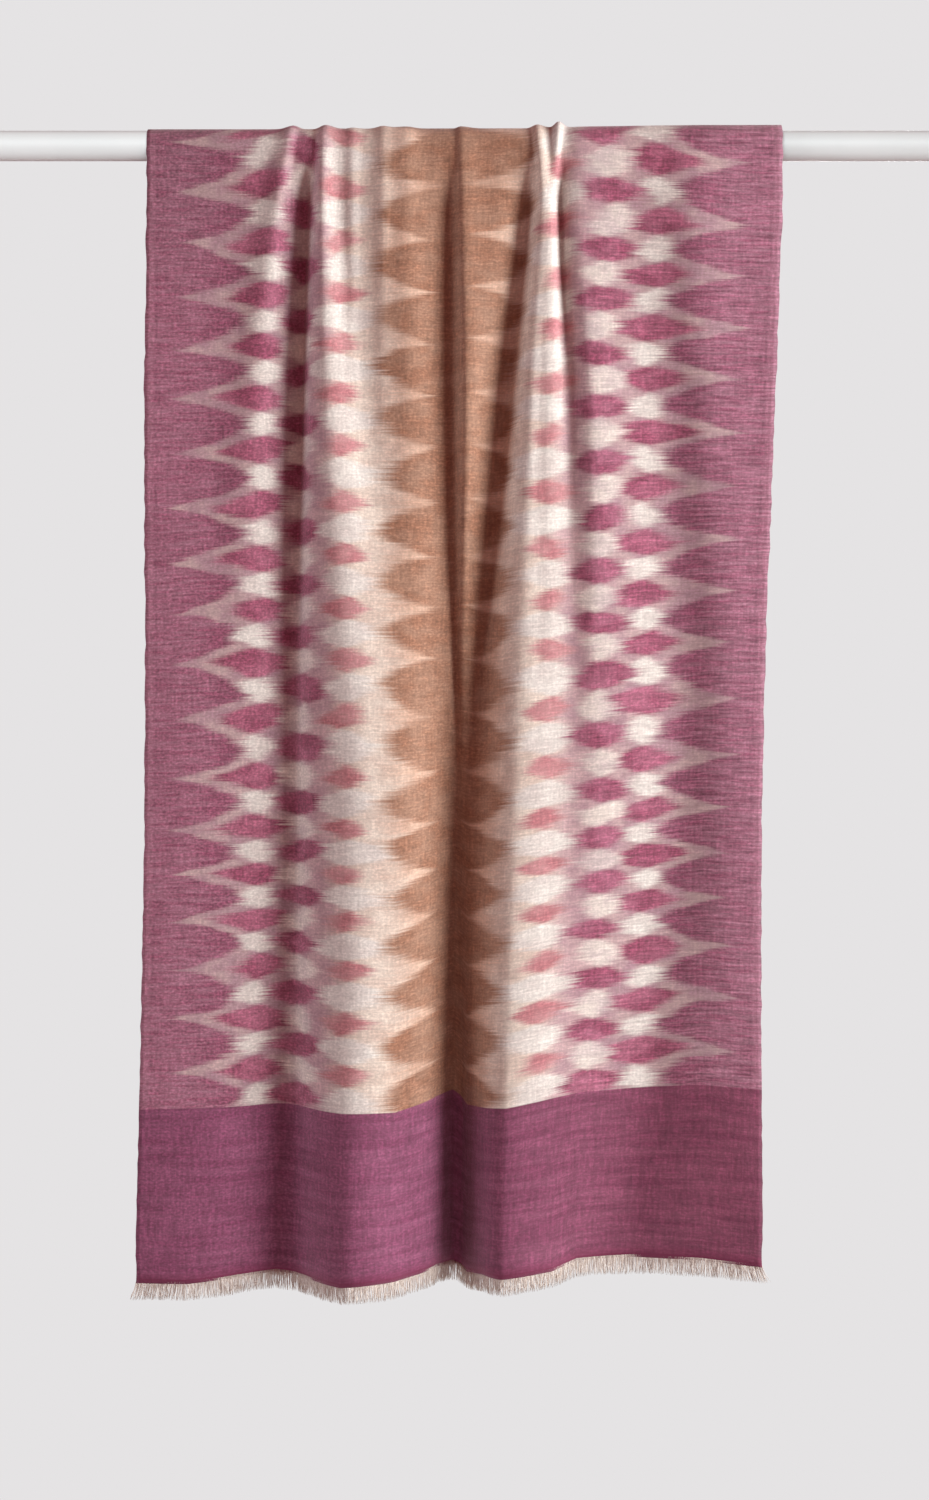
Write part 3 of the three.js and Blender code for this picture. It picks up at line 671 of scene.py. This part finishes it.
# The dyed shapes of one half of the width, from a selvedge to the middle: their middles from the
# selvedge, half widths and half heights in millimetres, and how square their ends are.
SHAPES = (
    dict(name="magenta diamond", row="gap", at=118, half=40, tall=14, power=1.5, dye=MAGENTA),
    dict(name="cream oval", row="tooth", at=119, half=18, tall=12, power=2.4, dye=CREAM),
    dict(name="wine diamond", row="tooth", at=169, half=33, tall=14, power=1.9, dye=WINE),
    dict(name="grey patch", row="gap", at=169, half=22, tall=14, power=2.4, dye=GREY_CREAM),
    dict(name="rose diamond", row="gap", at=228, half=25, tall=12, power=1.6, dye=ROSE),
    dict(name="cream band", row="tooth", at=231, half=31, tall=14.5, power=2.8, dye=CREAM),
)
# The paler ground between them is pink at the selvedge, and changes towards the middle.
PALE_ZONES = (
    dict(start=130, full=180, dye=PALE_MAUVE),
    dict(start=200, full=236, dye=PALE_PEACH),
    dict(start=256, full=312, dye=PALE_TAN),
)
TOOTH_BASE, TOOTH_TIP = 30.0, 101.0
TAN_TIP, TAN_BASE = 269.0, 328.0
HALF_PITCH = ROW_PITCH / 2
TOOTH_POWER = 1.9
DYE_BLEED = 10.5
TOOTH_BLEED = 9.0
TAN_BLEED = 14.0
ROW_WOBBLE = 0.22
SIZE_LEAST, SIZE_MOST = 0.72, 1.22
EVEN = (0.3, 0.7)  # the span of a grain's usual values

# Sideways slips of the dyed weft, of single picks, of bundles and of long stretches: the cells of
# their grain across and along the cloth, and how far they slip, in millimetres.
SLIPS = (
    dict(across=60, along=1.3, layer=1.0, detail=1.0, reach=27.0),
    dict(across=70, along=4.5, layer=2.0, detail=2.0, reach=15.0),
    dict(across=120, along=30.0, layer=3.0, detail=1.0, reach=36.0),
)


def feather(g, u, v):
    """How far the weft has slipped sideways, in millimetres."""
    total = 0.0
    for slip in SLIPS:
        grain = g.grain(u, v, slip["across"], slip["along"], slip["layer"], detail=slip["detail"])
        total = g.add(total, g.mul(g.sub(grain, 0.5), slip["reach"]))
    return total


def shape_mask(g, half_u, row_distance, shape, size):
    """1 inside a dyed shape and 0 outside it. Its width runs below nothing past its tips."""
    reach = g.math("DIVIDE", row_distance, shape["tall"])
    reach = g.math("POWER", g.math("MINIMUM", reach, 2.0), shape["power"])
    width = g.mul(g.mul(g.sub(1.0, reach), shape["half"]), size)
    off = g.math("ABSOLUTE", g.sub(half_u, shape["at"]))
    return g.ramp(g.sub(width, off), -DYE_BLEED, DYE_BLEED)


def ikat_colour(g, u, v, rows):
    """The feathered diamonds of the field, on millimetres u and v and a count of rows."""
    slip = feather(g, u, v)
    folded = g.math("MINIMUM", u, g.sub(CLOTH_WIDTH, u))
    half_u = g.add(folded, slip)
    wobble = g.grain(u, v, 60, 45, 4.0, detail=1.0)
    rows = g.add(rows, g.mul(g.sub(wobble, 0.5), ROW_WOBBLE))
    phase = g.math("FRACT", g.add(rows, 1000.5))
    gap = g.mul(g.math("ABSOLUTE", g.sub(phase, 0.5)), ROW_PITCH)
    tooth = g.sub(HALF_PITCH, gap)
    distance = {"gap": gap, "tooth": tooth}
    strength = g.ramp(g.grain(u, v, 26, 18, 5.0), *EVEN)

    colour = g.dyed(strength, PALE_PINK)
    for zone in PALE_ZONES:
        reached = g.ramp(half_u, zone["start"], zone["full"])
        colour = g.mix(reached, colour, g.dyed(strength, zone["dye"]))
    for order, shape in enumerate(SHAPES):
        size = g.ramp(g.grain(u, v, 90, 40, 10.0 + order, detail=1.0), *EVEN,
                      SIZE_LEAST, SIZE_MOST, False)
        mask = shape_mask(g, half_u, distance[shape["row"]], shape, size)
        colour = g.mix(mask, colour, g.dyed(strength, shape["dye"]))

    part = g.math("DIVIDE", tooth, HALF_PITCH)
    reach = g.sub(1.0, g.math("POWER", part, TOOTH_POWER))
    edge = g.add(TOOTH_BASE, g.mul(reach, TOOTH_TIP - TOOTH_BASE))
    purple = g.ramp(g.sub(edge, half_u), -TOOTH_BLEED, TOOTH_BLEED)
    # The purple is deepest at the inner tips of its teeth, and streaked with lavender outside.
    streaked = g.grain(u, v, 28, 2.4, 6.0, detail=2.0)
    outside = g.ramp(half_u, 40.0, 100.0, 0.01, -0.2)
    lavender = g.ramp(g.add(streaked, outside), 0.2, 0.8)
    colour = g.mix(purple, colour, g.dyed(lavender, PURPLE))
    tan_edge = g.sub(TAN_BASE, g.mul(reach, TAN_BASE - TAN_TIP))
    tan = g.ramp(g.sub(half_u, tan_edge), -TAN_BLEED, TAN_BLEED)
    return g.mix(tan, colour, g.dyed(strength, TAN))


def field_colour(g, u, v):
    """The field. It is lightened with painted light along the left selvedge, and darkened there with
    painted shade near the rod and down the back fall.
    """
    chart_u, chart_rows = g.uv("PatternUV")
    field = ikat_colour(g, g.mul(chart_u, CLOTH_WIDTH), v, g.mul(chart_rows, UV_ROWS))
    # Painted light along the left selvedge, turning to painted shade near the rod and beyond it.
    left_light_and_shade = g.mul(g.ramp(u, 20.0, 110.0, 0.14, 0.0), g.ramp(v, 930.0, 1120.0, 1.0, -0.6))
    return g.scaled(field, g.add(left_light_and_shade, 1.0))


def border_colour(g, u, v):
    """The end bands, purple, darkened towards the right with painted shade."""
    cloudy = g.ramp(g.grain(u, v, 75, 8, 20.0), *EVEN)
    # Painted shade: the bands darken from 250 mm across to the right selvedge.
    return g.mix(g.ramp(u, 250.0, CLOTH_WIDTH), g.dyed(cloudy, BORDER_PURPLE),
                 g.dyed(cloudy, BORDER_PAINTED_SHADE))


def with_selvedges(g, colour, u, in_border):
    """A pinker strip runs down each selvedge, with a close-packed line beside it. The right
    selvedge's very edge is darkened with painted shade."""
    near_edge = g.math("MINIMUM", u, g.sub(CLOTH_WIDTH, u))
    strip = g.mul(g.ramp(near_edge, 7.0, 11.0, 0.2, 0.0), g.sub(1.0, in_border))
    colour = g.mix(strip, colour, SELVEDGE_PINK)
    packed = g.ramp(g.math("ABSOLUTE", g.sub(near_edge, 11.5)), 0.4, 2.0, 0.92, 1.0)
    # Painted shade on the last four millimetres of the right selvedge.
    right_edge_shade = g.ramp(g.sub(CLOTH_WIDTH, u), 0.5, 4.0, 0.7, 1.0)
    return g.scaled(colour, g.mul(packed, right_edge_shade))


# The yarn's grain, in cells across and along the cloth: short and long level streaks of uneven
# weft, upright ones of the warp, and flecks.
YARN_GRAINS = dict(
    streak=dict(across=17, along=1.9, layer=21.0, detail=3.0, rough=0.6),
    warp=dict(across=2.4, along=17, layer=22.0, detail=2.0),
    fleck=dict(across=3.2, along=2.1, layer=23.0, detail=1.0),
    long_streak=dict(across=55, along=1.8, layer=24.0, detail=2.0),
)
WARP_SHARE = 0.62
FLECK_SHARE, FLECK_SHARE_LEFT = 0.9, 1.35
LONG_SHARE = 0.8


def yarn_tone(g, grain, u, in_border):
    """How much lighter or darker the yarn is, from its grain. Streaks are stronger to the right,
    flecks to the left, and the end bands are calmer."""
    def off_middle(name):
        return g.sub(grain[name], 0.5)

    def calmer(value, part):
        return g.mul(value, g.sub(1.0, g.mul(in_border, part)))

    level = calmer(g.ramp(u, 0.0, CLOTH_WIDTH, 0.7, 1.25, False), 0.6)
    tone = g.add(g.mul(off_middle("streak"), level), g.mul(off_middle("warp"), WARP_SHARE))
    flecked = calmer(g.ramp(u, 60.0, 420.0, FLECK_SHARE_LEFT, FLECK_SHARE, False), 0.3)
    tone = g.add(tone, g.mul(off_middle("fleck"), flecked))
    drawn = calmer(g.ramp(u, 330.0, 620.0, 0.1, 1.0), 0.7)
    tone = g.add(tone, g.mul(off_middle("long_streak"), g.mul(drawn, LONG_SHARE)))
    # Yarn that is lighter stands out more than yarn that is darker.
    return g.math("MAXIMUM", tone, g.mul(tone, 0.6))


WEAVE_PITCH = 1.3
WEAVE_RELIEF = 0.0004


def cloth_material():
    """The whole cloth, on its flat lay: field, end bands, selvedges, yarn and hems."""
    g = Graph("stole_weave")
    lay_u, lay_v = g.uv("ClothUV")
    u = g.mul(lay_u, CLOTH_WIDTH)
    v = g.mul(lay_v, CLOTH_LENGTH)
    near_end = g.math("MINIMUM", v, g.sub(CLOTH_LENGTH, v))
    in_border = g.ramp(near_end, BORDER_DEPTH - 0.6, BORDER_DEPTH + 0.6, 1.0, 0.0)
    colour = g.mix(in_border, field_colour(g, u, v), border_colour(g, u, v))
    colour = with_selvedges(g, colour, u, in_border)

    grain = {name: g.grain(u, v, **cell) for name, cell in YARN_GRAINS.items()}
    tone = yarn_tone(g, grain, u, in_border)
    # The grain shows more on dark dyes than on pale ones.
    shown = g.ramp(g.lightness(colour), 0.09, 0.30, 2.0, 0.75, False)
    colour = g.scaled(colour, g.add(g.mul(tone, shown), 1.0))

    # The hem's edging is magenta, and tints the band's last picks.
    hem = g.math("MAXIMUM", g.ramp(near_end, HEM_LINE - 0.5, HEM_LINE + 0.7, 0.9, 0.0),
                 g.ramp(near_end, HEM_LINE, HEM_LINE + 9.0, 0.5, 0.0))
    colour = g.mix(hem, colour, HEM_MAGENTA)
    g.put(g.shader.inputs["Base Color"], colour)
    g.shader.inputs["Roughness"].default_value = 0.75
    g.shader.inputs["Specular IOR Level"].default_value = 0.45
    g.shader.inputs["Sheen Weight"].default_value = 0.33
    g.shader.inputs["Sheen Roughness"].default_value = 0.5
    g.shader.inputs["Sheen Tint"].default_value = srgb(240, 236, 236)

    wave = 2 * math.pi / WEAVE_PITCH
    plain = g.mul(g.math("SINE", g.mul(u, wave)), g.math("SINE", g.mul(v, wave)))
    relief = g.add(g.mul(plain, 0.3), g.add(g.mul(grain["warp"], 0.7), grain["streak"]))
    g.put(g.shader.inputs["Normal"], g.bump(relief, WEAVE_RELIEF, 0.6))
    return g.material


def yarn_material():
    """The fringe's undyed warp ends."""
    g = Graph("fringe_warp_ends")
    scatter = g.noise(g.object_position(), scale=900.0, detail=1.0)
    colour = g.mix(g.ramp(scatter, *EVEN), srgb(206, 193, 184), srgb(232, 223, 214))
    g.put(g.shader.inputs["Base Color"], colour)
    g.shader.inputs["Roughness"].default_value = 0.85
    g.shader.inputs["Specular IOR Level"].default_value = 0.2
    g.put(g.shader.inputs["Normal"], g.bump(scatter, 0.0002, 0.5))
    return g.material


ROD_WEAR = (0.4985, 0.4999)


def rod_material():
    """White paint brushed along the rod, slightly worn at the rims of its ends."""
    g = Graph("rod_white_paint")
    split = g.tree.nodes.new("ShaderNodeSeparateXYZ")
    g.put(split.inputs[0], g.object_position())
    along = g.mul(split.outputs["X"], 25.0)
    brush = g.noise(g.vector(along, g.mul(split.outputs["Y"], 900.0),
                             g.mul(split.outputs["Z"], 900.0)), detail=2.0)
    tint = g.noise(g.object_position(), scale=14.0, detail=3.0)
    base = g.mix(g.ramp(tint, *EVEN), srgb(234, 238, 238), srgb(238, 241, 241))
    worn = g.ramp(g.math("ABSOLUTE", split.outputs["X"]), *ROD_WEAR)
    g.put(g.shader.inputs["Base Color"], g.mix(worn, base, srgb(226, 222, 214)))
    g.put(g.shader.inputs["Roughness"], g.ramp(brush, 0.2, 0.8, 0.34, 0.46))
    g.shader.inputs["Specular IOR Level"].default_value = 0.4
    g.put(g.shader.inputs["Normal"], g.bump(brush, 0.00005, 0.25))
    return g.material


# ---- Build -----------------------------------------------------------------------------

weave = cloth_material()
yarn = yarn_material()
paint = rod_material()

cloth = build_cloth(weave)
fringe_front = build_fringe("fringe_front_threads", FRONT_DROP, 1, 21, yarn)
fringe_back = build_fringe("fringe_back_threads", -BACK_DROP, -1, 43, yarn)
rod = build_rod(paint)

for piece in (cloth, fringe_front, fringe_back, rod):
    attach(piece, "root")
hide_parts("field_front", "field_over_rod", "field_back", "border_front", "border_back")
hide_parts("fringe_front")
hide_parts("fringe_back")
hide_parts("rod")


# ---- Studio ----------------------------------------------------------------------------

CLOTH_PLANE_Y = -0.018
CAMERA_DISTANCE = 3.0
CAMERA_HEIGHT = -0.6076
FRAME_HEIGHT = 1.5  # of the cloth's plane, over the picture's 1500 rows
SENSOR = 36.0


def add_camera():
    data = bpy.data.cameras.new("camera")
    data.sensor_width = SENSOR
    data.lens = SENSOR * CAMERA_DISTANCE / FRAME_HEIGHT
    camera = bpy.data.objects.new("camera", data)
    camera.location = (0, CLOTH_PLANE_Y - CAMERA_DISTANCE, CAMERA_HEIGHT)
    camera.rotation_euler = (math.pi / 2, 0, 0)
    bpy.context.collection.objects.link(camera)
    bpy.context.scene.camera = camera


def add_area_light(name, place, target, size, power, colour):
    data = bpy.data.lights.new(name, "AREA")
    data.shape = "DISK"
    data.size = size
    data.energy = power
    data.color = colour
    light = bpy.data.objects.new(name, data)
    light.location = place
    light.rotation_euler = (Vector(target) - Vector(place)).to_track_quat("-Z", "Y").to_euler()
    bpy.context.collection.objects.link(light)
    return light


LIGHTS = dict(
    key=dict(place=(3.15, -1.27, 0.1), target=(0, 0, -0.55), size=2.2, power=214,
             colour=(0.99, 1.0, 0.99)),
    fill=dict(place=(-3.0, -0.85, -0.3), target=(0, 0, -0.55), size=1.1, power=29,
              colour=(0.92, 0.95, 1.0)),
    rod_glow=dict(place=(0, -2.7, 0.8), target=(0, 0, 0), size=2.6, power=75,
                  colour=(0.87, 1.0, 1.0)),
    back=dict(place=(0.4, 3.2, 0.5), target=(0, 0, -0.5), size=1.8, power=90,
              colour=(1.0, 0.98, 0.96)),
)


def light_rod_apart(key, rod_glow):
    """The satin rod has a soft light of its own, so that both its ends are equally bright."""
    others = bpy.data.collections.new("not_lit_by_key")
    others.objects.link(rod)
    others.collection_objects[0].light_linking.link_state = "EXCLUDE"
    key.light_linking.receiver_collection = others
    alone = bpy.data.collections.new("lit_by_rod_glow")
    alone.objects.link(rod)
    rod_glow.light_linking.receiver_collection = alone


FLOOR_HALF, FLOOR_HEIGHT = 1.45, -1.76


def add_floor():
    corners = [(-1, -1), (1, -1), (1, 1), (-1, 1)]
    floor = new_object("floor", [(a * FLOOR_HALF, b * FLOOR_HALF, FLOOR_HEIGHT) for a, b in corners],
                       [[0, 1, 2, 3]], floor_material(), smooth=False)


def floor_material():
    g = Graph("studio_floor")
    grain = g.noise(g.object_position(), scale=6.0, detail=2.0)
    colour = g.mix(g.ramp(grain, *EVEN), srgb(206, 212, 212), srgb(210, 216, 216))
    g.put(g.shader.inputs["Base Color"], colour)
    g.shader.inputs["Roughness"].default_value = 0.9
    return g.material


BACKGROUND = srgb(229, 227, 228)
AMBIENT = 0.215
AMBIENT_TINT = (1.0, 0.36, 0.34, 1.0)


def add_world():
    """A plain pale backdrop for the camera, and a weak warm light for everything else."""
    world = bpy.data.worlds.new("studio")
    bpy.context.scene.world = world
    world.use_nodes = True
    tree = world.node_tree
    tree.nodes.clear()
    out = tree.nodes.new("ShaderNodeOutputWorld")
    seen = tree.nodes.new("ShaderNodeBackground")
    seen.inputs["Color"].default_value = BACKGROUND
    lit = tree.nodes.new("ShaderNodeBackground")
    lit.inputs["Color"].default_value = AMBIENT_TINT
    lit.inputs["Strength"].default_value = AMBIENT
    path = tree.nodes.new("ShaderNodeLightPath")
    pick = tree.nodes.new("ShaderNodeMixShader")
    tree.links.new(path.outputs["Is Camera Ray"], pick.inputs[0])
    tree.links.new(lit.outputs[0], pick.inputs[1])
    tree.links.new(seen.outputs[0], pick.inputs[2])
    tree.links.new(pick.outputs[0], out.inputs["Surface"])


add_camera()
lights = {name: add_area_light(name, **values) for name, values in LIGHTS.items()}
light_rod_apart(lights["key"], lights["rod_glow"])
add_floor()
add_world()
bpy.context.scene.view_settings.view_transform = "Standard"
